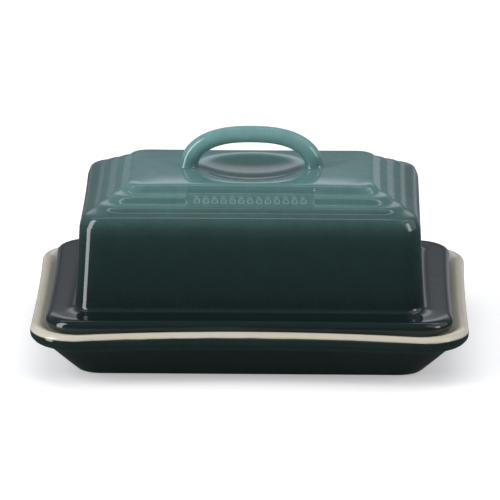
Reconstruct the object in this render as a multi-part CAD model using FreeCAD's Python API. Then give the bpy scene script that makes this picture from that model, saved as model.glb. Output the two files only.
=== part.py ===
import FreeCAD, Part
import math
import os

# Rectangular covered butter dish in glazed stoneware: dish, domed lid and the loop handle luted onto the lid.
# Millimetres, +Z up, +X along the long side. Origin: centre of the foot's resting plane.

# ---------------------------------------------------------------- driving dimensions
LENGTH = 173.0            # over the rim, along X
DEPTH = 128.0             # over the rim, along Y
HEIGHT = 89.6             # foot to the top of the handle
A_RIM = LENGTH / 2.0
OFF = (LENGTH - DEPTH) / 2.0   # every outline's Y half size is its X half size less this

FOOT_A = 68.6             # half length of the foot's outline
FOOT_OFF = OFF + 1.3      # the foot is a little longer for its width than the rim
RIM_Z = 21.3              # crest of the rim at the corners
RIM_WAVE = 0.8            # the crest stands this much higher at the middle of the long sides
LEDGE_Z = 19.3            # ledge that the lid stands on
FLOOR_Z = 5.6             # inside floor of the well
RECESS = 1.2              # hollow under the base, inside the foot ring
FOOT_RING_W = 5.5

SEAT_GAP = 0.4            # lid's underside above the ledge
BRIM_A = 80.5             # half length over the lid's brim
BRIM_T = 6.0              # brim thickness
BODY_A = 69.1             # half length of the lid's body at the brim
SHOULDER_A = 67.2
SHOULDER_Z = 59.6
RING_C = (58.8, 66.5)    # outermost ring edge: half length, height
RING_B = (53.3, 69.2)
RING_A = (48.3, 72.1)     # edge of the top
BODY_R = 8.0              # corner radius of the lid's body
TOP_Z = 73.1              # crowned middle of the top
CAVITY_A = 64.6           # half length of the lid's hollow at its mouth
CEILING_Z = 67.6          # underside of the lid's top
CAVITY_R = 6.0            # corner radius of the hollow

DIP_X, DIP_Y, DIP_DEPTH = 21.0, 19.2, 4.4   # oval finger dip in the top
DIP_WALL = 3.8

PANEL_HALF = 25.0         # plain panel across the front rings
BEADS = 13
BEAD_PITCH = 3.5
BEAD_W, BEAD_H, BEAD_RISE = 2.3, 3.4, 0.6

HANDLE_D = 6.8
HANDLE_HALF = 25.9        # centre line's half span
HANDLE_SPRING_Z = 70.0    # below the top's surface, so the legs still lean in where they meet it
HANDLE_R_CORNER = 13.0
V = FreeCAD.Vector


# ---------------------------------------------------------------- outlines
def overrun(sag, r, c):
    """Angle by which a corner arc of radius r runs past its quarter turn so that a side of half length c sags."""
    lo, hi = -0.6, 0.6
    for _ in range(60):
        m = (lo + hi) / 2.0
        got = r * (1 - math.cos(m)) + (c - r * math.sin(m)) * math.tan(m) / 2.0
        if got < sag:
            lo = m
        else:
            hi = m
    return (lo + hi) / 2.0


def outline(a, z, r, sag_long=0.0, sag_short=0.0, wave=0.0, off=OFF):
    """Closed rounded rectangle of 8 arcs or lines. a: X half size; sags are how far the sides draw in."""
    b = a - off
    cx, cy = a - r, b - r
    dl, ds = overrun(sag_long, r, cx), overrun(sag_short, r, cy)

    def corner(sx, sy, swap):
        t = [-math.pi / 2 - dl, (-math.pi / 2 - dl + ds) / 2.0, ds]
        p = [V(sx * (cx + r * math.cos(k)), sy * (-cy + r * math.sin(k)), z) for k in t]
        return p[::-1] if swap else p

    fr = corner(1, 1, False)          # front right, from the front side to the right side
    br = corner(1, -1, True)          # right side to the back side
    bl = corner(-1, -1, False)        # back side to the left side
    fl = corner(-1, 1, True)          # left side to the front side
    mids = [V(0, -(b - sag_long), z + wave), V(a - sag_short, 0, z), V(0, b - sag_long, z + wave), V(-(a - sag_short), 0, z)]

    def side(p, m, q):
        if (m - (p + q) * 0.5).Length < 0.02:
            return Part.LineSegment(p, q).toShape()
        return Part.Arc(p, m, q).toShape()

    edges = [side(fl[2], mids[0], fr[0]), Part.Arc(*fr).toShape(),
             side(fr[2], mids[1], br[0]), Part.Arc(*br).toShape(),
             side(br[2], mids[2], bl[0]), Part.Arc(*bl).toShape(),
             side(bl[2], mids[3], fl[0]), Part.Arc(*fl).toShape()]
    return Part.Wire(edges)


def loft(rows):
    s = Part.makeLoft([outline(*r) for r in rows], True, True)
    if s.Volume < 0:
        s.reverse()
    return s


# ---------------------------------------------------------------- dish
# half length, height, corner radius, long sag, short sag, wave
dish_rows = [
    (FOOT_A, 0.0, 9.5, 0.0, 0.0, 0.0, FOOT_OFF),
    (FOOT_A + 1.3, 1.3, 10.0, 0.2, 0.0, 0.0, FOOT_OFF),
    (74.9, 7.2, 12.4, 0.9, 0.2, 0.1, OFF + 0.6),
    (79.6, 12.7, 15.0, 1.7, 0.3, 0.2),
    (82.4, 14.5, 16.4, 2.3, 0.4, 0.4),
    (85.2, 15.8, 17.2, 2.9, 0.5, 0.5),
    (86.3, 17.3, 17.6, 3.2, 0.5, 0.7),
    (A_RIM, 18.8, 17.8, 3.3, 0.5, 0.8),
    (86.2, 20.2, 17.7, 3.3, 0.5, 0.8),
    (85.4, 21.0, 17.4, 3.3, 0.5, RIM_WAVE),
    (84.2, RIM_Z, 16.9, 3.2, 0.5, RIM_WAVE),
    (82.9, 21.0, 16.2, 2.9, 0.5, RIM_WAVE),
    (81.0, 20.0, 15.4, 2.0, 0.4, 0.3),
    (79.4, LEDGE_Z, 14.8, 1.2, 0.4, 0.0),
    (74.6, LEDGE_Z - 0.02, 13.0, 1.0, 0.3, 0.0),
    (73.2, 18.2, 12.6, 0.9, 0.3, 0.0),
    (67.4, 8.6, 11.4, 0.4, 0.1, 0.0),
    (64.4, 6.3, 10.6, 0.2, 0.0, 0.0),
    (61.0, FLOOR_Z, 9.6, 0.0, 0.0, 0.0),
]
dish = loft(dish_rows)
recess = loft([(FOOT_A - FOOT_RING_W, -1.0, 7.5, 0.0, 0.0, 0.0, FOOT_OFF), (FOOT_A - FOOT_RING_W, 0.4, 7.5, 0.0, 0.0, 0.0, FOOT_OFF),
               (FOOT_A - FOOT_RING_W - 1.0, RECESS, 7.0, 0.0, 0.0, 0.0, FOOT_OFF)])
dish = dish.cut(recess)

# ---------------------------------------------------------------- lid
z0 = LEDGE_Z + SEAT_GAP
z1 = z0 + BRIM_T
zm = (z0 + z1) / 2.0
rb = BRIM_T / 2.0
lid_rows = [
    (30.0, TOP_Z, 5.0, 0.0, 0.0, 0.0, 11.0),
    (RING_A[0] - 0.9, RING_A[1] + 0.05, BODY_R - 2.4, 0.3, 0.2, 0.0),
    (RING_A[0], RING_A[1] - 0.4, BODY_R - 2.0, 0.3, 0.2, 0.0),
    (RING_A[0] + 2.1, RING_B[1] + 0.15, BODY_R - 1.4, 0.4, 0.2, 0.0),
    (RING_B[0] - 0.8, RING_B[1] + 0.05, BODY_R - 0.8, 0.4, 0.2, 0.0),
    (RING_B[0], RING_B[1] - 0.4, BODY_R - 0.5, 0.4, 0.2, 0.0),
    (RING_B[0] + 2.3, RING_C[1] + 0.2, BODY_R, 0.4, 0.2, 0.0),
    (RING_C[0] - 0.8, RING_C[1] + 0.05, BODY_R + 0.3, 0.4, 0.2, 0.0),
    (RING_C[0], RING_C[1] - 0.4, BODY_R + 0.5, 0.4, 0.2, 0.0),
    (RING_C[0] + 2.4, 65.0, BODY_R + 0.6, 0.5, 0.2, 0.0),
    (64.4, 63.8, BODY_R + 0.7, 0.5, 0.2, 0.0),
    (66.3, 62.2, BODY_R + 0.7, 0.5, 0.2, 0.0),
    (SHOULDER_A, SHOULDER_Z, BODY_R + 0.6, 0.5, 0.3, 0.0),
    (67.7, 52.0, BODY_R + 0.4, 0.5, 0.3, 0.0),
    (BODY_A - 0.4, z1 + 6.0, BODY_R, 0.6, 0.3, 0.0),
    (BODY_A + 0.4, z1 + 2.0, BODY_R + 0.4, 0.7, 0.3, 0.0),
    (BODY_A + 2.4, z1 + 0.2, BODY_R + 1.8, 0.9, 0.4, 0.0),
    (BRIM_A - rb, z1, 12.2, 1.5, 0.5, 0.0),
    (BRIM_A - 0.4 * rb, z1 - 0.25 * rb, 12.8, 1.6, 0.5, 0.0),
    (BRIM_A, zm + 0.3, 13.0, 1.6, 0.5, 0.0),
    (BRIM_A - 0.3 * rb, z0 + 0.4 * rb, 13.0, 1.6, 0.5, 0.0),
    (BRIM_A - rb, z0, 12.2, 1.6, 0.5, 0.0),
    (CAVITY_A + 1.6, z0 + 0.02, CAVITY_R + 0.8, 0.7, 0.3, 0.0),
    (CAVITY_A, z0 + 1.6, CAVITY_R, 0.6, 0.3, 0.0),
    (62.9, 56.0, CAVITY_R - 0.4, 0.5, 0.3, 0.0),
    (60.6, 60.6, CAVITY_R - 0.8, 0.5, 0.2, 0.0),
    (56.2, 63.4, CAVITY_R - 1.2, 0.4, 0.2, 0.0),
    (50.5, 65.8, CAVITY_R - 1.6, 0.3, 0.2, 0.0),
    (44.0, CEILING_Z, CAVITY_R - 2.0, 0.3, 0.2, 0.0),
]
lid = loft(lid_rows)

# sloping panel across the front rings: the rings stop at its ends
y_top, z_top = -(RING_A[0] - OFF) - 1.2, 70.9
y_low, z_low = -(RING_C[0] - OFF) + 0.3, 67.45


def prism(pts, x0, x1):
    f = Part.Face(Part.makePolygon([V(x0, y, z) for y, z in pts + pts[:1]]))
    return f.extrude(V(x1 - x0, 0, 0))


lid = lid.fuse(prism([(y_top, z_top), (y_low, z_low), (y_low + 3.0, z_low - 4.0), (y_top, z_top - 4.0)], -PANEL_HALF, PANEL_HALF))
lid = lid.cut(prism([(y_top, z_top), (y_low, z_low), (y_low, z_low + 6.0), (y_top, z_top + 6.0)], -PANEL_HALF, PANEL_HALF))
slope = math.atan2(z_top - z_low, y_top - y_low)
normal = V(0, -math.sin(slope), math.cos(slope))
up_slope = V(0, math.cos(slope), math.sin(slope))
mid = V(0, (y_top + y_low) / 2.0, (z_top + z_low) / 2.0)
for i in range(BEADS):
    c = mid + V((i - (BEADS - 1) / 2.0) * BEAD_PITCH, 0, 0) - normal * 0.5
    e = Part.Ellipse(c + up_slope * (BEAD_H / 2.0), c + V(BEAD_W / 2.0, 0, 0), c)
    bead = Part.Face(Part.Wire([e.toShape()])).extrude(normal * (BEAD_RISE + 0.5))
    lid = lid.fuse(bead)


def bowl(ax, ay, depth, z_rim):
    """Lower part of an ellipsoid whose section at z_rim has half sizes ax, ay and whose bottom lies depth below."""
    up = depth * 1.2                      # centre above the rim plane
    c = depth + up
    k = math.sqrt(1.0 - (up / c) ** 2)
    s = Part.makeSphere(1.0)
    m = FreeCAD.Matrix()
    m.scale(ax / k, ay / k, c)
    s = s.transformGeometry(m)
    s.translate(V(0, 0, z_rim + up))
    return s


dip = bowl(DIP_X, DIP_Y, DIP_DEPTH, TOP_Z)
under = bowl(DIP_X + 3.5, DIP_Y + 3.5, DIP_DEPTH + DIP_WALL, TOP_Z)
block = Part.makeBox(80, 60, 6.3, V(-40, -30, TOP_Z - 0.9 - 6.3))
lid = lid.fuse(under.common(block))
lid = lid.cut(dip)
lid = lid.removeSplitter()

# ---------------------------------------------------------------- handle: two corner arcs and one flat arc
r1 = HANDLE_R_CORNER
rise = HEIGHT - HANDLE_D / 2.0 - HANDLE_SPRING_Z
gx = HANDLE_HALF - r1
r2 = (rise * rise - r1 * r1 + gx * gx) / (2.0 * (rise - r1))
cz = HANDLE_SPRING_Z + rise - r2
ang = math.atan2(gx, HANDLE_SPRING_Z - cz)
P = lambda x, z: V(x, 0, z)
tx, tz = r2 * math.sin(ang), cz + r2 * math.cos(ang)
half = ang + (math.pi / 2 - ang) / 2.0
mx, mz = gx + r1 * math.sin(half), HANDLE_SPRING_Z + r1 * math.cos(half)
z_leg = 68.5
path = Part.Wire([
    Part.LineSegment(P(-HANDLE_HALF, z_leg), P(-HANDLE_HALF, HANDLE_SPRING_Z)).toShape(),
    Part.Arc(P(-HANDLE_HALF, HANDLE_SPRING_Z), P(-mx, mz), P(-tx, tz)).toShape(),
    Part.Arc(P(-tx, tz), P(0, cz + r2), P(tx, tz)).toShape(),
    Part.Arc(P(tx, tz), P(mx, mz), P(HANDLE_HALF, HANDLE_SPRING_Z)).toShape(),
    Part.LineSegment(P(HANDLE_HALF, HANDLE_SPRING_Z), P(HANDLE_HALF, z_leg)).toShape(),
])
ring = Part.Wire([Part.Circle(P(-HANDLE_HALF, z_leg), V(0, 0, 1), HANDLE_D / 2.0).toShape()])
handle = path.makePipeShell([ring], True, True)
# flared foot where each leg is luted on
for s in (-1, 1):
    handle = handle.fuse(Part.makeCone(HANDLE_D / 2.0 + 1.1, HANDLE_D / 2.0 - 0.1, 4.4, P(s * (HANDLE_HALF - 0.3), 72.0), V(-s * 0.12, 0, 1)))
    handle = handle.fuse(Part.makeCylinder(HANDLE_D / 2.0 + 1.1, 3.5, P(s * (HANDLE_HALF - 0.3), 68.5)))
handle = handle.cut(lid)
# what is left below the top's surface, if anything, is dropped
parts_above = [s for s in handle.Solids if s.BoundBox.ZMax > 80]
handle = parts_above[0]

# ---------------------------------------------------------------- export
os.makedirs("parts", exist_ok=True)
for name, shape in (("dish", dish), ("lid", lid), ("handle", handle)):
    b = shape.BoundBox
    print(name, shape.ShapeType, "solids", len(shape.Solids), "valid", shape.isValid(),
          "volume", round(shape.Volume, 1), "box", [round(k, 2) for k in (b.XMin, b.XMax, b.YMin, b.YMax, b.ZMin, b.ZMax)])
    shape.exportStep("parts/%s.step" % name)
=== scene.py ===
import bpy, math
import numpy as np
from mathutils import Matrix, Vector
from mathutils.bvhtree import BVHTree


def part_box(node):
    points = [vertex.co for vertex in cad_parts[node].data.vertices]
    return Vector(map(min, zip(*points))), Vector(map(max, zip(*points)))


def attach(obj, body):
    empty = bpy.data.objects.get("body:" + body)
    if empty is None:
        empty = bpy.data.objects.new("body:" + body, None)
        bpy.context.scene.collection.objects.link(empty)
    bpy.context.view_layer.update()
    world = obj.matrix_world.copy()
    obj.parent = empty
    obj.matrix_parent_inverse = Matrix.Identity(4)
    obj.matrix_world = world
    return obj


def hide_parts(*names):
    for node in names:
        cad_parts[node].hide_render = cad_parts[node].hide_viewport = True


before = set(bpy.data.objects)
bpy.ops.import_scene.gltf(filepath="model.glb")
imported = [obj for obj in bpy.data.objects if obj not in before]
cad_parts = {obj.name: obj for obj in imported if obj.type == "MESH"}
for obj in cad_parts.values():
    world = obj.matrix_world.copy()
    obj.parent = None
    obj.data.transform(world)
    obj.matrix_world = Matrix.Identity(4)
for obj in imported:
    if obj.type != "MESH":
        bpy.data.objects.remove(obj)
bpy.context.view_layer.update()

# ------------------------------------------------------------------ sizes, in mm: the rim, the brim's underside and the handle's top read from the parts in model.glb, the rest given
MM = 0.001


def mm_box(node):
    lo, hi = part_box(node)
    return np.array(lo) / MM, np.array(hi) / MM


dish_lo, dish_hi = mm_box("dish")
lid_lo, lid_hi = mm_box("lid")
han_lo, han_hi = mm_box("handle")
A_RIM = min(dish_hi[0], -dish_lo[0])
OFF = A_RIM - 64.0                       # every outline's Y half size is its X half size less this
A_BRIM = 80.5
Z_LEDGE = 19.3
Z_LID = lid_lo[2]                        # underside of the brim
Z_TOP = han_hi[2]                        # top of the handle
BRIM_T = 6.0


# ------------------------------------------------------------------ outlines
def overrun(sag, r, c):
    lo = np.full_like(r, -0.6)
    hi = np.full_like(r, 0.6)
    for _ in range(50):
        m = (lo + hi) / 2
        got = r * (1 - np.cos(m)) + (c - r * np.sin(m)) * np.tan(m) / 2
        lo = np.where(got < sag, m, lo)
        hi = np.where(got < sag, hi, m)
    return (lo + hi) / 2


def quarter(a, b, r, sl, ss, n=420):
    """Points of a quarter outline, from the middle of the front side to the middle of the right side."""
    one = lambda v: np.array([float(v)])
    cx, cy = a - r, b - r
    dl, ds = overrun(one(sl), one(r), one(cx))[0], overrun(one(ss), one(r), one(cy))[0]
    x1 = cx - r * math.sin(dl)
    kl = math.tan(dl) / (2 * x1)
    y1 = cy - r * math.sin(ds)
    ks = math.tan(ds) / (2 * y1)
    x = np.linspace(0, x1, n, endpoint=False)
    p = [np.stack([x, -(b - sl) - kl * x * x], 1)]
    t = np.linspace(-math.pi / 2 - dl, ds, n, endpoint=False)
    p.append(np.stack([cx + r * np.cos(t), -cy + r * np.sin(t)], 1))
    y = np.linspace(y1, 0, n)
    p.append(np.stack([(a - ss) + ks * y * y, -y], 1))
    return np.concatenate(p)


def soften(p, sigma):
    """Evens out the curvature of a closed outline of evenly spaced points."""
    n = len(p)
    length = np.linalg.norm(np.roll(p, -1, 0) - p, axis=1).sum()
    k = np.fft.fftfreq(n, d=length / n) * 2 * math.pi
    f = np.exp(-0.5 * (k * sigma) ** 2)
    q = np.stack([np.fft.ifft(np.fft.fft(p[:, i]) * f).real for i in (0, 1)], 1)
    return q


def even(p, n, closed=True):
    c = np.concatenate([p, p[:1]]) if closed else p
    d = np.concatenate([[0], np.cumsum(np.linalg.norm(np.diff(c, axis=0), axis=1))])
    s = np.linspace(0, d[-1], n, endpoint=not closed)
    return np.stack([np.interp(s, d, c[:, i]) for i in range(c.shape[1])], 1)


def closed_outline(a, b, r, sl, ss, sigma=1.6):
    q = quarter(a, b, r, sl, ss)
    full = np.concatenate([q, (q[:-1] * [1, -1])[::-1], (q[1:] * [-1, -1]), (q[1:-1] * [-1, 1])[::-1]])
    e = even(full, 1800)
    s = soften(e, sigma)
    # smoothing pulls the outline in a little: scaled back to its size
    s[:, 0] *= np.abs(e[:, 0]).max() / np.abs(s[:, 0]).max()
    s[:, 1] *= np.abs(e[:, 1]).max() / np.abs(s[:, 1]).max()
    i = int(np.argmin(np.abs(s[:, 0]) + np.where(s[:, 1] < 0, 0, 1e3)))
    return np.roll(s, -i, 0)


class Columns:
    """Where the mesh's columns stand round an outline: dense across the front panel and round the corners."""

    def __init__(self, dense_x, dense_n, front_n, corner_n, side_n, back_n, round_to):
        self.v = (dense_x, dense_n, front_n, corner_n, side_n, back_n, round_to)

    def at(self, a, b, r, sl, ss, sigma=1.0):
        dense_x, dense_n, front_n, corner_n, side_n, back_n, round_to = self.v
        o = closed_outline(a, b, r, sl, ss, sigma)
        n = len(o)
        half = o[: n // 2 + 1]                       # front middle, right side, back middle
        d = np.concatenate([[0], np.cumsum(np.linalg.norm(np.diff(half, axis=0), axis=1))])
        s_right = d[int(np.argmin(np.abs(half[:, 1]) + (half[:, 0] < 0) * 1e3))]
        k = max(r, round_to)                         # the corner's columns keep to one band from row to row
        c0 = min(a - k - 1.5, s_right - 3)
        c1 = min(a - r + r * math.pi / 2 + (k - r) + 1.5, s_right - 1.5)
        runs = [(c0, c1, corner_n), (c1, s_right, side_n), (s_right, 2 * s_right - c1, side_n),
                (2 * s_right - c1, 2 * s_right - c0, corner_n)]
        start = dense_x if dense_n else 0.0
        cum = [np.linspace(0, dense_x, dense_n, endpoint=False)] if dense_n else []
        cum.append(np.linspace(start, c0, front_n, endpoint=False))
        for p, q, m in runs:
            cum.append(np.linspace(p, q, m, endpoint=False))
        cum.append(np.linspace(2 * s_right - c0, d[-1], back_n + 1))
        t = np.concatenate(cum)
        right = np.stack([np.interp(t, d, half[:, i]) for i in (0, 1)], 1)
        right[0, 0] = 0.0
        right[-1, 0] = 0.0
        left = (right[1:-1] * [-1, 1])[::-1]
        return np.concatenate([right, left])


# ------------------------------------------------------------------ profiles
def fillet(points, step=0.35, straight=1.6):
    """A polyline of (a, z, radius, tag) turned into a run of (a, z, tag) with its corners rounded."""
    P = [np.array(p[:2], float) for p in points]
    out = []

    def add(p, tag):
        if not out or np.linalg.norm(out[-1][:2] - p) > 1e-4:
            out.append(np.array([p[0], p[1], tag]))

    cur = P[0]
    add(cur, points[0][3])
    for i in range(1, len(P)):
        last = i == len(P) - 1
        if last:
            end = P[i]
        else:
            u = P[i - 1] - P[i]
            v = P[i + 1] - P[i]
            lu, lv = np.linalg.norm(u), np.linalg.norm(v)
            u, v = u / lu, v / lv
            ang = math.acos(max(-1, min(1, float(u @ v))))
            t = points[i][2] / math.tan(ang / 2) if ang < math.pi - 1e-3 else 0.0
            t = min(t, 0.49 * lu if i > 1 else 0.98 * lu, 0.49 * lv if i < len(P) - 2 else 0.98 * lv)
            end = P[i] + u * t
        seg = np.linalg.norm(end - cur)
        m = max(1, int(math.ceil(seg / straight)))
        for k in range(1, m + 1):
            f = k / m
            add(cur + (end - cur) * f, points[i - 1][3])
        if last:
            break
        if t > 1e-6:
            R = t * math.tan(ang / 2)
            start, stop = end, P[i] + v * t
            c = P[i] + (u + v) / np.linalg.norm(u + v) * (R / math.sin(ang / 2))
            w0, w1 = start - c, stop - c
            turn = math.pi - ang
            m = max(2, int(math.ceil(R * turn / step)))
            for k in range(1, m + 1):
                f = k / m
                p = (w0 * math.sin((1 - f) * turn) + w1 * math.sin(f * turn)) / math.sin(turn) + c
                add(p, points[i][3])
            cur = stop
        else:
            cur = P[i]
    return np.array(out)


def arc_length(prof):
    return np.concatenate([[0], np.cumsum(np.linalg.norm(np.diff(prof[:, :2], axis=0), axis=1))])


def smooth_profile(prof, sigma, step):
    """Softens a profile's curvature and spaces its points by step(curvature)."""
    s = arc_length(prof)
    n = int(s[-1] / 0.08)
    t = np.linspace(0, s[-1], n)
    q = np.stack([np.interp(t, s, prof[:, i]) for i in range(prof.shape[1])], 1)
    h = int(4 * sigma / (t[1] - t[0])) + 1
    k = np.exp(-0.5 * ((np.arange(-h, h + 1) * (t[1] - t[0])) / sigma) ** 2)
    k /= k.sum()
    pad = lambda v: np.concatenate([2 * v[0] - v[h:0:-1], v, 2 * v[-1] - v[-2:-h - 2:-1]])
    for i in (0, 1):
        q[:, i] = np.convolve(pad(q[:, i]), k, mode="valid")
    # spacing by curvature
    d = np.gradient(q[:, :2], t, axis=0)
    th = np.unwrap(np.arctan2(d[:, 1], d[:, 0]))
    kap = np.abs(np.gradient(th, t))
    dens = 1.0 / np.clip(step / (1 + 6.0 * kap), 0.16, step)
    cum = np.concatenate([[0], np.cumsum((dens[1:] + dens[:-1]) / 2 * np.diff(t))])
    m = int(math.ceil(cum[-1]))
    pick = np.interp(np.linspace(0, cum[-1], m + 1), cum, t)
    return np.stack([np.interp(pick, t, q[:, i]) for i in range(q.shape[1])], 1), pick


# ------------------------------------------------------------------ mesh building
def grid_mesh(name, rows, attrs=None, start_pole=True, end_pole=True):
    """rows: (R, C, 3) closed in C, in mm. Poles close the two ends."""
    R, C, _ = rows.shape
    co = rows.reshape(-1, 3)
    verts = [co]
    if start_pole:
        verts.append(rows[0].mean(0)[None])
    if end_pole:
        verts.append(rows[-1].mean(0)[None])
    V = np.concatenate(verts) * MM
    i = np.arange(R - 1)[:, None] * C
    j = np.arange(C)[None, :]
    jn = (j + 1) % C
    quads = np.stack([i + j, i + jn, i + C + jn, i + C + j], -1).reshape(-1, 4)
    faces = [tuple(q) for q in quads.tolist()]
    k = R * C
    if start_pole:
        faces += [(k, int(b), int(a)) for a, b in zip(range(C), [(c + 1) % C for c in range(C)])]
        k += 1
    if end_pole:
        base = (R - 1) * C
        faces += [(k, base + a, base + b) for a, b in zip(range(C), [(c + 1) % C for c in range(C)])]
    me = bpy.data.meshes.new(name)
    me.from_pydata(V.tolist(), [], faces)
    me.validate()
    me.update()
    me.polygons.foreach_set("use_smooth", [True] * len(me.polygons))
    for key, val in (attrs or {}).items():
        a = me.attributes.new(key, "FLOAT", "POINT")
        v = np.zeros(len(me.vertices))
        v[: R * C] = val.reshape(-1)
        n = R * C
        if start_pole:
            v[n] = val[0].mean()
            n += 1
        if end_pole:
            v[n] = val[-1].mean()
        a.data.foreach_set("value", v)
    ob = bpy.data.objects.new(name, me)
    bpy.context.scene.collection.objects.link(ob)
    return ob


def outward(ob):
    """Turns the faces outward if the closed mesh holds a negative volume."""
    me = ob.data
    me.calc_loop_triangles()
    v = np.array([x.co[:] for x in me.vertices])
    t = np.array([x.vertices[:] for x in me.loop_triangles])
    vol = np.einsum("ij,ij->i", v[t[:, 0]], np.cross(v[t[:, 1]], v[t[:, 2]])).sum() / 6
    if vol < 0:
        me.flip_normals()
    me.update()
    return abs(vol)


def convexity(rows):
    """Profile curvature at every point along its column: above 0 on an outer edge, below 0 in a groove."""
    d1 = rows[1:-1] - rows[:-2]
    d2 = rows[2:] - rows[1:-1]
    l1 = np.linalg.norm(d1, axis=2) + 1e-6
    l2 = np.linalg.norm(d2, axis=2) + 1e-6
    kv = (d2 / l2[..., None] - d1 / l1[..., None]) / ((l1 + l2) / 2)[..., None]
    # outward direction: across the row and the column
    col = np.roll(rows, -1, 1) - np.roll(rows, 1, 1)
    nrm = np.cross(col[1:-1], rows[2:] - rows[:-2])
    nrm /= np.linalg.norm(nrm, axis=2)[..., None] + 1e-9
    k = -(kv * nrm).sum(2)
    out = np.zeros(rows.shape[:2])
    out[1:-1] = k
    return out


smooth01 = lambda x: np.clip(x, 0, 1) ** 2 * (3 - 2 * np.clip(x, 0, 1))

# ------------------------------------------------------------------ the top of the lid
RING_A = (48.3, 72.5)
RING_B = (53.2, 69.05)
RING_C = (58.7, 66.35)
CROWN = 0.55
DIP_X, DIP_Y, DIP_DEPTH = 20.9, 19.4, 4.35
A_TOP = 46.4                              # the top's own surface ends here and the stepped profile starts


def top_height(x, y):
    """Height of the lid's top: a low crown with the oval finger dip pressed into it."""
    u = np.clip(np.abs(x) / RING_A[0], 0, 1)
    v = np.clip(np.abs(y) / (RING_A[0] - OFF), 0, 1)
    h = RING_A[1] + CROWN * (1 - u ** 6.0) * (1 - v ** 3.8)
    rho2 = (x / DIP_X) ** 2 + (y / DIP_Y) ** 2
    bowl = h - DIP_DEPTH * (1 - rho2) * (1 - 0.18 * np.clip(1 - rho2, 0, 1))
    k = 0.5
    # soft minimum of the crown and the bowl
    return -k * np.logaddexp(-h / k, -bowl / k)


# ------------------------------------------------------------------ lid
z0, z1 = Z_LID, Z_LID + BRIM_T
rb = BRIM_T / 2
lid_points = [
    (A_TOP, RING_A[1], 0.0, 0),
    (RING_A[0] + 0.3, RING_A[1] - 0.10, 2.6, 1),
    (RING_B[0] - 1.8, RING_B[1] + 0.40, 0.5, 2),
    (RING_B[0] + 1.0, RING_B[1] - 0.10, 1.5, 3),
    (RING_C[0] - 1.7, RING_C[1] + 0.40, 0.5, 4),
    (RING_C[0] + 1.0, RING_C[1] - 0.10, 1.5, 5),
    (61.4, 64.75, 0.9, 6),
    (65.7, 63.25, 2.4, 6),
    (67.2, 59.0, 4.0, 6),
    (67.4, 55.0, 12.0, 7),
    (68.9, z1 + 1.0, 4.0, 8),
    (71.5, z1 + 0.12, 5.0, 9),
    (A_BRIM, z1, 2.9, 10),
    (A_BRIM, z0, 2.9, 11),
    (67.6, z0, 1.4, 12),
    (64.7, z0 + 2.6, 2.0, 13),
    (62.9, 56.0, 6.0, 14),
    (60.5, 60.8, 4.0, 14),
    (56.2, 63.4, 4.0, 14),
    (50.5, 65.8, 4.0, 15),
    (44.0, 67.6, 5.0, 15),
    (38.0, 67.6, 0.0, 16),
]
prof, s_prof = smooth_profile(fillet(lid_points), 0.42, 1.5)
key_a = [p[0] for p in lid_points]


def lid_shape(prof):
    """Corner radius and the draw-in of the long and short sides for every profile point."""
    n = len(prof)
    i_brim = int(np.argmax(prof[:, 0]))
    r, sl, ss = np.zeros(n), np.zeros(n), np.zeros(n)
    for i, (a, z, tag) in enumerate(prof):
        if i <= i_brim:
            r[i] = np.interp(a, [46.0, 48.3, 53.3, 58.8, 64.0, 67.2, 69.0, 71.5, 77.5, 80.5], [5.6, 6.0, 7.5, 8.5, 8.7, 8.6, 8.0, 9.8, 12.2, 13.0])
            sl[i] = np.interp(a, [46, 60, 67, 69.0, 80.5], [0.3, 0.4, 0.5, 0.6, 1.6])
            ss[i] = np.interp(a, [46, 60, 67, 69.0, 80.5], [0.2, 0.2, 0.3, 0.35, 0.5])
        else:
            r[i] = np.interp(a, [38, 44, 50.5, 60.5, 64.6, 66.2, 77.5, 80.5], [3.4, 4.0, 4.4, 5.2, 6.0, 6.8, 12.2, 13.0])
            sl[i] = np.interp(a, [40, 60, 66, 80.5], [0.3, 0.5, 0.7, 1.6])
            ss[i] = np.interp(a, [40, 60, 66, 80.5], [0.2, 0.25, 0.3, 0.5])
    return r, sl, ss


r_, sl_, ss_ = lid_shape(prof)
cols = Columns(27.0, 100, 10, 22, 10, 32, 8.0)
body = []
for (a, z, tag), r, sl, ss in zip(prof, r_, sl_, ss_):
    o = cols.at(a, a - OFF, r, sl, ss)
    body.append(np.column_stack([o, np.full(len(o), z)]))
body = np.array(body)
# top rows: from the middle of the dip out to the first ring
ring0 = body[0][:, :2]
th = np.arctan2(ring0[:, 1] / DIP_Y, ring0[:, 0] / DIP_X)
ell = np.stack([DIP_X * np.cos(th), DIP_Y * np.sin(th)], 1)
top = []
for f in np.concatenate([np.linspace(0.03, 0.86, 24), np.linspace(0.88, 1.16, 22)]):
    top.append(ell * f)
edge = ell * 1.16
for f in np.linspace(0, 1, 22)[1:-1]:
    g = f
    top.append(edge * (1 - g) + ring0 * g)
top = np.array(top)
top = np.concatenate([top, top_height(top[..., 0], top[..., 1])[..., None]], 2)
# the first profile row follows the crown, and the crown fades into the ring's edge
fade = []
for i in range(len(body)):
    a = prof[i, 0]
    if i < len(body) // 2 and a < RING_A[0] + 1.6 and prof[i, 1] > RING_A[1] - 1.6:
        w = 1 - smooth01((a - A_TOP) / (RING_A[0] + 1.6 - A_TOP))
        h = top_height(body[i][:, 0], body[i][:, 1]) - RING_A[1]
        body[i][:, 2] += h * w
    else:
        break

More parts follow.
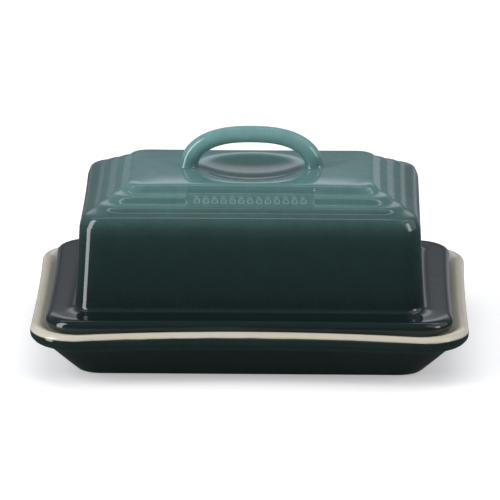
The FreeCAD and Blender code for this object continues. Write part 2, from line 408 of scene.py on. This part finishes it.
# panel: a plain sloping face across the front rings, with a row of small beads
PANEL_HALF, PANEL_SOFT = 25.2, 0.9
p_top, p_low = (RING_A[0] + 0.75, 71.25), (RING_C[0] + 0.6, RING_C[1])
front_mid = body[:, 0, :]
i_top = int(np.argmin([abs(prof[i, 0] - p_top[0]) + (0 if i < len(prof) // 2 else 1e3) for i in range(len(prof))]))
i_low = int(np.argmin([abs(prof[i, 0] - p_low[0]) + (0 if i < len(prof) // 2 else 1e3) for i in range(len(prof))]))
span = range(i_top, i_low + 1)
pa = prof[i_top:i_low + 1, :2]
sp = np.concatenate([[0], np.cumsum(np.linalg.norm(np.diff(pa, axis=0), axis=1))])
sp /= sp[-1]
# panel profile: a short riser below the top's edge, the flat face, a small kerb at its foot
q = np.array([[pa[0, 0], pa[0, 1]], [RING_A[0] + 1.3, 70.55], [RING_A[0] + 1.9, 69.95], [RING_C[0] - 1.0, 66.75], [RING_C[0] - 0.2, 66.45], [pa[-1, 0], pa[-1, 1]]])
dq = np.concatenate([[0], np.cumsum(np.linalg.norm(np.diff(q, axis=0), axis=1))])
dq /= dq[-1]
panel_prof = np.stack([np.interp(sp, dq, q[:, i]) for i in (0, 1)], 1)
x_col = body[0][:, 0]
BEADS, PITCH, BEAD_W, BEAD_H, BEAD_RISE = 13, 3.5, 1.45, 2.1, 0.62
bead_c = (np.arange(BEADS) - (BEADS - 1) / 2) * PITCH
slope = math.atan2(69.95 - 66.75, (RING_C[0] - 1.0) - (RING_A[0] + 1.9))
bead_attr = np.zeros(body.shape[:2])
for k, i in enumerate(span):
    row = body[i]
    front = row[:, 1] < 0
    w = smooth01((PANEL_HALF + PANEL_SOFT / 2 - np.abs(row[:, 0])) / PANEL_SOFT) * front
    da = panel_prof[k, 0] - pa[k, 0]
    dz = panel_prof[k, 1] - pa[k, 1]
    row[:, 1] -= da * w
    row[:, 2] += dz * w
mid_a, mid_z = (RING_A[0] + 1.9 + RING_C[0] - 1.0) / 2 + 0.1, (69.95 + 66.75) / 2
mid_y = -(mid_a - OFF - 0.35)
for i in range(max(0, i_top - 2), i_low + 3):
    row = body[i]
    front = row[:, 1] < 0
    v = (row[:, 1] - mid_y) * math.cos(slope) + (row[:, 2] - mid_z) * math.sin(slope)
    rise = np.zeros(len(row))
    for c in bead_c:
        e = np.sqrt(((row[:, 0] - c) / BEAD_W) ** 2 + (v / BEAD_H) ** 2)
        rise = np.maximum(rise, np.clip(1 - e ** 2, 0, 1) ** 1.6)
    rise *= front
    bead_attr[i] = rise
    row[:, 1] -= rise * BEAD_RISE * math.sin(slope)
    row[:, 2] += rise * BEAD_RISE * math.cos(slope)

# ceiling inside: closes over with the swelling under the finger dip
inner_ring = body[-1][:, :2]
ceil = []
for f in np.concatenate([np.linspace(1, 0.5, 12)[1:], np.linspace(0.5, 0.03, 12)[1:]]):
    p = inner_ring * f
    rho2 = (p[:, 0] / (DIP_X + 4)) ** 2 + (p[:, 1] / (DIP_Y + 3)) ** 2
    ceil.append(np.column_stack([p, 67.6 - 2.6 * np.exp(-rho2 * 1.6) * (1 - smooth01((f - 0.72) / 0.28))]))
ceil = np.array(ceil)
rows = np.concatenate([top, body, ceil])
bead_all = np.concatenate([np.zeros(top.shape[:2]), bead_attr, np.zeros(ceil.shape[:2])])
kv = convexity(rows)
s_all = np.concatenate([np.linspace(-60, 0, len(top)), s_prof, s_prof[-1] + np.linspace(1, 40, len(ceil))])
s_attr = np.repeat(s_all[:, None], rows.shape[1], 1)
i_brim = len(top) + int(np.argmax(prof[:, 0]))
s_brim = s_all[i_brim]
# painted shade: the lid is darker in the finger dip (pooled glaze there as well), in the groove at the foot of each
# ring's riser, in the line under the shoulder and along the top of the panel
pool_and_shade = np.zeros(rows.shape[:2])
nt_ = len(top)
rho = np.sqrt((top[..., 0] / DIP_X) ** 2 + (top[..., 1] / DIP_Y) ** 2)
pool_and_shade[:nt_] = smooth01((1.04 - rho) / 0.16)
prof_a = np.repeat(prof[:, 0:1], body.shape[1], 1)
above_brim = (np.arange(len(prof)) < np.argmax(prof[:, 0]))[:, None]
on_panel = (body[:, :, 1] < 0) * smooth01((PANEL_HALF + PANEL_SOFT / 2 - np.abs(body[:, :, 0])) / PANEL_SOFT)
bump = lambda c, w: np.exp(-(((prof_a - c) / w) ** 2)) * above_brim
groove_shade = bump(49.9, 1.25) * 0.62 + bump(55.3, 1.25) * 0.68
ends = smooth01((np.abs(body[:, :, 0]) - (prof_a - 9.0)) / 6.0)       # the painted groove shade and edge highlights are weaker on the short sides
groove_shade = groove_shade * (1 - 0.8 * ends)
pool_and_shade[nt_:nt_ + len(prof)] = np.clip(groove_shade * (1 - on_panel) + bump(61.2, 1.4) * 0.55 * (1 - 0.8 * ends) + bump(50.4, 1.05) * 1.0 * on_panel, 0, 1)
# painted highlights: lighter over each ring's edge and over the beads, partly the glaze breaking thin there, partly the
# light those edges catch; the panel between the beads is painted darker, a painted shade
crest = (bump(53.0, 0.85) + bump(58.2, 0.85)) * 0.85 * (1 - 0.8 * ends)
kv[nt_:nt_ + len(prof)] += crest * (1 - on_panel) + bead_attr * 0.9 - on_panel * (1 - bead_attr) * bump(54.3, 3.4) * 0.35
lid = grid_mesh("lid_shell", rows, {"ridge": np.clip(kv, -1.5, 1.5), "along": s_attr - s_brim, "bead": bead_all, "pool_and_shade": pool_and_shade})
vol_lid = outward(lid)

# ------------------------------------------------------------------ dish
dish_points = [
    (40.0, 1.2, 0.0, 0),
    (62.4, 1.2, 0.5, 0),
    (63.1, 0.0, 0.6, 1),
    (68.4, 0.0, 1.2, 2),
    (75.2, 7.4, 8.0, 3),
    (80.6, 13.4, 3.0, 3),
    (84.9, 15.1, 1.6, 4),
    (86.47, 17.2, 1.6, 5),
    (86.47, 20.3, 1.5, 6),
    (84.6, 21.45, 1.6, 7),
    (82.9, 21.2, 1.6, 8),
    (80.2, 19.35, 1.6, 9),
    (74.8, Z_LEDGE - 0.02, 1.1, 10),
    (73.4, 18.6, 1.1, 10),
    (67.0, 7.6, 5.0, 11),
    (63.0, 5.7, 4.0, 12),
    (50.0, 5.6, 0.0, 13),
]
dprof, ds_prof = smooth_profile(fillet(dish_points), 0.38, 1.5)
i_out = int(np.argmax(dprof[:, 0]))


def dish_shape(prof):
    n = len(prof)
    r, sl, ss, wave = np.zeros(n), np.zeros(n), np.zeros(n), np.zeros(n)
    i_crest = int(np.argmax(prof[:, 1]))
    for i, (a, z, tag) in enumerate(prof):
        if i <= i_crest:
            r[i] = np.interp(a, [40, 63.1, 68.6, 74.9, 80, 86.5], [6.0, 7.5, 9.5, 12.4, 15.2, 17.8]) if i < i_out else np.interp(a, [84, 86.5], [16.9, 17.8])
            sl[i] = np.interp(z, [0, 7.2, 12.7, 15.8, 18.8, 21.3], [0, 0.9, 1.7, 2.9, 3.3, 3.3])
            ss[i] = np.interp(z, [0, 7.2, 12.7, 15.8, 18.8], [0, 0.2, 0.3, 0.5, 0.5])
            wave[i] = np.interp(z, [5, 12.7, 15.8, 18.8], [0, 0.2, 0.5, 0.8])
        else:
            r[i] = np.interp(a, [50, 61, 67.4, 74.6, 79.4, 84.2], [7.0, 9.6, 11.4, 13.0, 14.8, 16.9])
            sl[i] = np.interp(a, [50, 67.4, 74.6, 79.4, 82.9, 84.6], [0, 0.4, 1.0, 1.2, 2.9, 3.3])
            ss[i] = np.interp(a, [50, 67.4, 79.4, 84.2], [0, 0.1, 0.4, 0.5])
            wave[i] = 0.8 * smooth01((z - Z_LEDGE) / 1.7)
    return r, sl, ss, wave


dr, dsl, dss, dwave = dish_shape(dprof)
dcols = Columns(0.0, 0, 40, 22, 14, 40, 15.0)
drows = []
for (a, z, tag), r, sl, ss, wv in zip(dprof, dr, dsl, dss, dwave):
    outside = len(drows) <= i_out
    o = dcols.at(a, a - OFF - (np.interp(z, [1.3, 7.2, 12.0], [1.3, 0.6, 0.0]) if outside else 0.0), r, sl, ss)
    x1 = a - r
    t = np.clip(np.abs(o[:, 0]) / x1, 0, 1)
    lift = wv * (1 - t ** 2) ** 1.0
    drows.append(np.column_stack([o, z + lift]))
drows = np.array(drows)
inner = drows[0]
under = np.array([np.column_stack([inner[:, :2] * f, inner[:, 2]]) for f in (0.05, 0.25, 0.5, 0.75)])
last = drows[-1]
floor_rows = np.array([np.column_stack([last[:, :2] * f, last[:, 2]]) for f in (0.85, 0.7, 0.5, 0.3, 0.12, 0.03)])
rows_d = np.concatenate([under, drows, floor_rows])
sd = np.concatenate([np.linspace(-40, -8, len(under)), ds_prof, ds_prof[-1] + np.linspace(5, 45, len(floor_rows))])
kd = convexity(rows_d)
i_line = int(np.argmax(dprof[:, 1] >= 19.1))       # where the outer glaze meets the cream glaze
sd_attr = np.repeat(sd[:, None], rows_d.shape[1], 1) - ds_prof[i_line]
dish = grid_mesh("dish_shell", rows_d, {"ridge": np.clip(kd, -1.5, 1.5), "along": sd_attr})
vol_dish = outward(dish)

# ------------------------------------------------------------------ handle
R_T = 3.34
R_LEG = 3.62                             # the loop is thicker where it was luted on
HALF, Z_SPRING = 25.5, 70.0
bvh = BVHTree.FromObject(lid, bpy.context.evaluated_depsgraph_get())


def ground(x, y):
    hit = bvh.ray_cast(Vector((x * MM, y * MM, 0.2)), Vector((0, 0, -1)))
    return hit[0][2] / MM if hit[0] is not None else RING_A[1]


rise = Z_TOP - 0.02 - R_T - Z_SPRING


def centre_line(n=160):
    e = 2.45
    t = np.linspace(0, math.pi, n)
    c, s = np.cos(t), np.sin(t)
    x = -HALF * np.sign(c) * np.abs(c) ** (2 / e)
    z = Z_SPRING + rise * np.abs(s) ** (2 / e)
    p = np.stack([x, z], 1)
    p = even(p, n, closed=False)
    return p


cl = centre_line()
FIL = 0.55
n_around = 56
ang = np.linspace(0, 2 * math.pi, n_around, endpoint=False)
tube = []
d = np.gradient(cl, axis=0)
d /= np.linalg.norm(d, axis=1)[:, None]
keep = [i for i in range(len(cl)) if cl[i, 1] > 75.6]
first, last_i = keep[0], keep[-1]


def section(i):
    """Ring of points round the centre line, a little deeper front to back than across, and thicker towards the legs."""
    px, pz = cl[i]
    tx, tz = d[i]
    nx, nz = -tz, tx                      # in the plane of the loop, outward on the left leg
    k = float(smooth01((pz - 75.0) / 11.0))
    rad = R_LEG + (R_T - R_LEG) * k
    q = []
    for a in ang:
        u, v = math.cos(a), math.sin(a)
        q.append((px + nx * rad * u, v * rad * 1.02, pz + nz * rad * u))
    return np.array(q)


def foot_rows(i, side):
    """Rows from just under the lid's surface up to section i: the leg carries on down its own slope with a soft flare."""
    ring = section(i)
    axis = np.array([d[i, 0], d[i, 1]]) * side
    lean = axis[0] / axis[1] * 0.6                  # the leg straightens a little towards its foot
    rows_f = []
    for f in np.linspace(0, 1, 26):
        pts = []
        for x, y, z in ring:
            cx = cl[i, 0]
            dx, dy = x - cx, y
            n = math.hypot(dx, dy) + 1e-9
            # height over the lid's surface falls from the ring's to just under it
            zz = z + (71.6 - z) * f
            cxx = cx + (zz - z) * lean
            g = ground(cxx + dx, dy)
            over = max(zz - g, -0.6)
            flare = FIL * math.exp(-((max(over, 0.0) / 0.75) ** 1.0)) * min(1.0, f * 3)
            px, py = cxx + dx + dx / n * flare, dy + dy / n * flare
            pts.append((px, py, max(zz, ground(px, py) - 0.5)))
        rows_f.append(np.array(pts))
    return rows_f[::-1][:-1]


left = foot_rows(first, 1)
right = foot_rows(last_i, -1)
for i in range(first, last_i + 1):
    tube.append(section(i))
all_rows = np.array(left + tube + right[::-1])
# smooth the joins between leg and loop
sm = all_rows.copy()
n_l = len(left)
for _ in range(8):
    lo, hi = n_l - 5, n_l + 6
    sm[lo:hi] = sm[lo:hi] * 0.5 + 0.25 * (sm[lo - 1:hi - 1] + sm[lo + 1:hi + 1])
    lo2, hi2 = len(sm) - hi, len(sm) - lo
    sm[lo2:hi2] = sm[lo2:hi2] * 0.5 + 0.25 * (sm[lo2 - 1:hi2 - 1] + sm[lo2 + 1:hi2 + 1])
kh = np.zeros(sm.shape[:2])
handle = grid_mesh("handle_loop", sm, {"ridge": kh, "along": kh, "bead": kh})
outward(handle)


# ------------------------------------------------------------------ materials
class Nodes:
    def __init__(self, name):
        self.m = bpy.data.materials.new(name)
        self.m.use_nodes = True
        self.t = self.m.node_tree
        self.p = self.t.nodes["Principled BSDF"]
        self.out = self.t.nodes["Material Output"]

    def n(self, kind, **kw):
        x = self.t.nodes.new(kind)
        for k, v in kw.items():
            setattr(x, k, v)
        return x

    def link(self, a, b):
        self.t.links.new(a, b)

    def math(self, op, a, b=None, c=None, clamp=False):
        x = self.n("ShaderNodeMath", operation=op, use_clamp=clamp)
        for i, v in enumerate((a, b, c)):
            if v is None:
                continue
            if isinstance(v, (int, float)):
                x.inputs[i].default_value = v
            else:
                self.link(v, x.inputs[i])
        return x.outputs[0]

    def mix(self, fac, a, b, blend="MIX"):
        x = self.n("ShaderNodeMix", data_type="RGBA", blend_type=blend)
        for s, v in ((x.inputs[0], fac), (x.inputs[6], a), (x.inputs[7], b)):
            if isinstance(v, (int, float)):
                s.default_value = v
            elif isinstance(v, tuple):
                s.default_value = v
            else:
                self.link(v, s)
        return x.outputs[2]

    def attr(self, name):
        return self.n("ShaderNodeAttribute", attribute_name=name).outputs["Fac"]

    def noise(self, vec, scale, detail=3.0, rough=0.55):
        x = self.n("ShaderNodeTexNoise")
        self.link(vec, x.inputs["Vector"])
        x.inputs["Scale"].default_value = scale
        x.inputs["Detail"].default_value = detail
        x.inputs["Roughness"].default_value = rough
        return x.outputs["Fac"]

    def ramp(self, fac, stops, mode="EASE"):
        x = self.n("ShaderNodeValToRGB")
        x.color_ramp.interpolation = mode
        e = x.color_ramp.elements
        e[0].position, e[0].color = stops[0]
        e[1].position, e[1].color = stops[-1]
        for pos, col in stops[1:-1]:
            k = e.new(pos)
            k.color = col
        self.link(fac, x.inputs[0])
        return x.outputs[0]

    def map(self, v, a, b, c=0.0, d=1.0):
        x = self.n("ShaderNodeMapRange")
        self.link(v, x.inputs[0])
        for i, k in enumerate((a, b, c, d)):
            x.inputs[i + 1].default_value = k
        return x.outputs[0]


# glaze colour by height in mm: teal at the top, sprayed over a near-black green; the lighter band from 20.4 to 21.8 mm
# is painted light, standing in for the glow bounced up from the cream rim onto the lower edge of the lid's brim
BODY_RAMP = [(0, (.0050, .0105, .0090)), (14, (.0055, .0120, .0108)), (17, (.0080, .0170, .0150)), (19.4, (.0090, .0190, .0170)), (20.4, (.0300, .0500, .0450)), (21.8, (.0300, .0500, .0450)),
             (23.6, (.0062, .0140, .0136)), (30, (.0070, .0166, .0162)),
             (37, (.0086, .0200, .0194)), (45, (.0092, .0222, .0214)), (51, (.0102, .0240, .0228)), (56, (.0130, .0300, .0285)),
             (60, (.0215, .0480, .0455)), (63.5, (.0420, .0930, .0890)), (67, (.0740, .1560, .1480)), (72, (.1020, .2080, .2010)),
             (90, (.1020, .2080, .2010))]
# the loop's colour by height: darker towards its feet, partly the sprayed fade and partly painted shade on the legs'
# lower faces
HANDLE_RAMP = [(0, (.080, .170, .162)), (72, (.080, .170, .162)), (76, (.105, .225, .215)), (81, (.140, .285, .274)), (90, (.150, .300, .290))]

CREAM = (.560, .537, .445, 1)
CREAM_2 = (.525, .487, .385, 1)
TOAST = (.28, .205, .125, 1)


def glaze(name, ramp, inside_from=None, pool_shade_key=None):
    """Gloss stoneware glaze. inside_from: 'along' value in mm where the cream glaze starts."""
    k = Nodes(name)
    tc = k.n("ShaderNodeTexCoord")
    obj = tc.outputs["Object"]
    sep = k.n("ShaderNodeSeparateXYZ")
    k.link(obj, sep.inputs[0])
    cloud = k.noise(obj, 26.0, 3.0)
    mott = k.noise(obj, 190.0, 3.0)
    fine = k.noise(obj, 1100.0, 2.0)
    # the fade's height wanders by a millimetre or two, as sprayed glaze does
    zz = k.math("ADD", k.math("MULTIPLY", sep.outputs[2], 1 / 0.090), k.math("MULTIPLY", k.math("SUBTRACT", cloud, 0.5), 0.035))
    stops = [(z / 90.0, c + (1,)) for z, c in ramp]
    col = k.ramp(zz, stops, "LINEAR")
    ridge = k.attr("ridge")
    edge_break_highlight = k.map(ridge, 0.05, 0.9)
    deep = k.map(ridge, -0.05, -0.8)
    # the colour is lighter over an edge and darker in a groove: partly the glaze breaking and gathering, partly a
    # painted highlight on the edges and painted shade in the grooves
    col = k.mix(k.math("MULTIPLY", edge_break_highlight, 0.50), col, k.mix(1.0, col, (1.75, 1.6, 1.6, 1), "MULTIPLY"))
    col = k.mix(k.math("MULTIPLY", deep, 0.45), col, k.mix(1.0, col, (.45, .55, .55, 1), "MULTIPLY"))
    # painted shade: darker where the lid's shade attribute marks the finger dip, the ring grooves and the panel's top
    if pool_shade_key:
        col = k.mix(k.math("MULTIPLY", k.attr(pool_shade_key), 0.75), col, k.mix(1.0, col, (.44, .50, .49, 1), "MULTIPLY"))
    f = k.map(mott, 0.3, 0.7, 0.93, 1.07)
    g = k.map(fine, 0.35, 0.65, 0.965, 1.035)
    grain = k.math("MULTIPLY", f, g)
    rough = k.map(fine, 0.2, 0.8, 0.045, 0.085)
    if inside_from is not None:
        along = k.attr("along")
        wob = k.math("MULTIPLY", k.math("SUBTRACT", k.noise(obj, 120.0, 2.0), 0.5), 0.5)
        a = k.math("ADD", along, wob)
        mask = k.map(a, inside_from - 0.16, inside_from + 0.16)
        # cream glaze, toasted where it starts
        speck = k.map(k.noise(obj, 620.0, 2.0), 0.66, 0.74)
        cream = k.mix(k.map(cloud, 0.35, 0.65), CREAM, CREAM_2)
        cream = k.mix(k.math("MULTIPLY", speck, 0.16), cream, (.30, .22, .13, 1))
        toast = k.math("SUBTRACT", 1.0, k.map(a, inside_from, inside_from + 0.55))
        cream = k.mix(k.math("MULTIPLY", toast, 0.45), cream, TOAST)
        # painted shade: the cream is darker and browner in its hollows, on the rim's inner slope and at the ledge
        cream = k.mix(k.math("MULTIPLY", k.map(ridge, -0.1, -0.9), 0.30), cream, (.45, .37, .25, 1))
        col = k.mix(1.0, col, grain, "MULTIPLY")
        col = k.mix(mask, col, cream)
    else:
        col = k.mix(1.0, col, grain, "MULTIPLY")
    k.link(col, k.p.inputs["Base Color"])
    k.link(rough, k.p.inputs["Roughness"])
    k.p.inputs["IOR"].default_value = 1.5
    k.p.inputs["Specular IOR Level"].default_value = 0.5
    # orange peel of a fired glaze
    b1 = k.n("ShaderNodeBump")
    b1.inputs["Strength"].default_value = 0.06
    b1.inputs["Distance"].default_value = 0.0005
    k.link(k.noise(obj, 75.0, 1.5), b1.inputs["Height"])
    b2 = k.n("ShaderNodeBump")
    b2.inputs["Strength"].default_value = 0.03
    b2.inputs["Distance"].default_value = 0.0002
    k.link(fine, b2.inputs["Height"])
    k.link(b1.outputs[0], b2.inputs["Normal"])
    k.link(b2.outputs[0], k.p.inputs["Normal"])
    return k


mat_lid = glaze("glaze_lid", BODY_RAMP, inside_from=4.6, pool_shade_key="pool_and_shade")
mat_handle = glaze("glaze_handle", HANDLE_RAMP)
mat_dish = glaze("glaze_dish", BODY_RAMP, inside_from=0.0)

for ob, k in ((lid, mat_lid), (handle, mat_handle), (dish, mat_dish)):
    ob.data.materials.append(k.m)

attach(lid, "lid")
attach(handle, "lid")
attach(dish, "dish")
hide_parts("lid")
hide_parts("handle")
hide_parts("dish")

# ------------------------------------------------------------------ stage
scene = bpy.context.scene


def area(name, direction, dist, sx, sy, radiance, target=(0, 0, 0.05), col=(1, 1, 1)):
    """A soft panel facing the object. direction: (azimuth from the front towards the right, elevation) of its middle."""
    az, el = math.radians(direction[0]), math.radians(direction[1])
    loc = Vector(target) + Vector((math.sin(az) * math.cos(el), -math.cos(az) * math.cos(el), math.sin(el))) * dist
    L = bpy.data.lights.new(name, "AREA")
    L.shape = "RECTANGLE"
    L.size, L.size_y = sx, sy
    L.energy = radiance * math.pi * sx * sy
    L.color = col
    o = bpy.data.objects.new(name, L)
    scene.collection.objects.link(o)
    o.location = loc
    o.rotation_euler = (Vector(target) - loc).to_track_quat("-Z", "Y").to_euler()
    o.visible_camera = False
    return o


me = bpy.data.meshes.new("floor")
S = 6.0
me.from_pydata([(-S, -S, 0), (S, -S, 0), (S, S, 0), (-S, S, 0)], [], [(0, 1, 2, 3)])
floor = bpy.data.objects.new("floor", me)
scene.collection.objects.link(floor)
fm = bpy.data.materials.new("floor_white")
fm.use_nodes = True
p = fm.node_tree.nodes["Principled BSDF"]
p.inputs["Base Color"].default_value = (0.93, 0.93, 0.93, 1)
p.inputs["Roughness"].default_value = 0.9
p.inputs["Specular IOR Level"].default_value = 0.0
p.inputs["Emission Color"].default_value = (1, 1, 1, 1)
p.inputs["Emission Strength"].default_value = 0.30
floor.data.materials.append(fm)
floor.visible_glossy = False

# soft surround: dim low down, brighter overhead
w = bpy.data.worlds.new("studio")
scene.world = w
w.use_nodes = True
nt = w.node_tree
bg = nt.nodes["Background"]
tc = nt.nodes.new("ShaderNodeTexCoord")
sp = nt.nodes.new("ShaderNodeSeparateXYZ")
rp = nt.nodes.new("ShaderNodeValToRGB")
mr = nt.nodes.new("ShaderNodeMapRange")
nt.links.new(tc.outputs["Generated"], sp.inputs[0])
nt.links.new(sp.outputs[2], mr.inputs[0])
mr.inputs[1].default_value, mr.inputs[2].default_value = -1.0, 1.0
nt.links.new(mr.outputs[0], rp.inputs[0])
sky = [(-90, .05), (-32, .06), (-14, .10), (-3, .12), (4, .13), (12, .15), (20, .18), (30, .20), (50, .24), (90, .26)]
sky = [((math.sin(math.radians(el)) + 1) / 2, v) for el, v in sky]
e = rp.color_ramp.elements
tint = lambda v: (v * 0.97, v, v * 1.12, 1)
e[0].position, e[0].color = sky[0][0], tint(sky[0][1])
e[1].position, e[1].color = sky[-1][0], tint(sky[-1][1])
for pos, v in sky[1:-1]:
    k = e.new(pos)
    k.color = tint(v)


def wm(op, a, b=None):
    x = nt.nodes.new("ShaderNodeMath")
    x.operation = op
    for i, v in enumerate((a, b)):
        if v is None:
            continue
        if isinstance(v, (int, float)):
            x.inputs[i].default_value = v
        else:
            nt.links.new(v, x.inputs[i])
    return x.outputs[0]


def ease(v, a, b):
    x = nt.nodes.new("ShaderNodeMapRange")
    x.interpolation_type = "SMOOTHSTEP"
    nt.links.new(v, x.inputs[0])
    for i, k in enumerate((a, b, 0.0, 1.0)):
        x.inputs[i + 1].default_value = k
    return x.outputs[0]


def glow_at(x0, z0, wx, w_low, w_high, amount):
    """A soft oval of light behind the object, centred on direction (x0, z0)."""
    sx = wm("DIVIDE", wm("SUBTRACT", sp.outputs[0], x0), wx)
    up = wm("SUBTRACT", sp.outputs[2], z0)
    sz = wm("ADD", wm("DIVIDE", wm("MAXIMUM", up, 0.0), w_high), wm("DIVIDE", wm("MINIMUM", up, 0.0), w_low))
    rr = wm("SQRT", wm("ADD", wm("MULTIPLY", sx, sx), wm("MULTIPLY", sz, sz)))
    return wm("MULTIPLY", wm("MULTIPLY", ease(rr, 1.0, 0.1), ease(sp.outputs[1], 0.05, 0.3)), amount)


# one broad light a little above the horizon behind, and two faint ones low to its right and left
glow = wm("ADD", wm("ADD", glow_at(0.0, math.sin(math.radians(24)), 0.54, 0.112, 0.235, 0.98), glow_at(0.0, 0.42, 1.1, 0.22, 0.34, 0.25)),
          wm("ADD", glow_at(0.30, 0.00, 0.44, 0.36, 0.30, 0.34), glow_at(-0.30, 0.00, 0.40, 0.36, 0.28, 0.14)))
addc = nt.nodes.new("ShaderNodeMix")
addc.data_type = "RGBA"
addc.blend_type = "ADD"
nt.links.new(glow, addc.inputs[0])
nt.links.new(rp.outputs[0], addc.inputs[6])
addc.inputs[7].default_value = (0.97, 1.0, 1.08, 1)
nt.links.new(addc.outputs[2], bg.inputs["Color"])
bg.inputs["Strength"].default_value = 1.0

overhead = area("overhead", (0, 90), 1.6, 1.7, 1.7, 0.75)
overhead.visible_glossy = False
area("top_strip", (180, 71), 1.3, 1.7, 0.15, 2.4)
area("left_tall", (-66, 16), 1.2, 0.46, 1.62, 7.0)
area("right_broad", (80, 40), 1.3, 1.6, 1.4, 0.8)
area("right_small", (66, 24), 1.3, 0.36, 0.5, 5.0)

# ------------------------------------------------------------------ camera
az, el, roll = math.radians(0.955), math.radians(17.0), math.radians(0.097)
F_PX, DIST = 5282.5, 2.1209
target = Vector((-0.000577, 0.0, 0.03788))
back = Vector((math.sin(az) * math.cos(el), -math.cos(az) * math.cos(el), math.sin(el)))
cam_data = bpy.data.cameras.new("camera")
cam = bpy.data.objects.new("camera", cam_data)
scene.collection.objects.link(cam)
cam.location = target + back * DIST
fwd = -back
right_v = fwd.cross(Vector((0, 0, 1))).normalized()
up_v = right_v.cross(fwd)
r2 = right_v * math.cos(roll) + up_v * math.sin(roll)
u2 = -right_v * math.sin(roll) + up_v * math.cos(roll)
from mathutils import Matrix
cam.rotation_euler = Matrix((r2, u2, back)).transposed().to_euler()
cam_data.sensor_width = 36.0
cam_data.lens = F_PX / 500.0 * 36.0
cam_data.clip_start = 0.05
cam_data.clip_end = 50.0
scene.camera = cam
scene.view_settings.view_transform = "Standard"
scene.view_settings.look = "None"
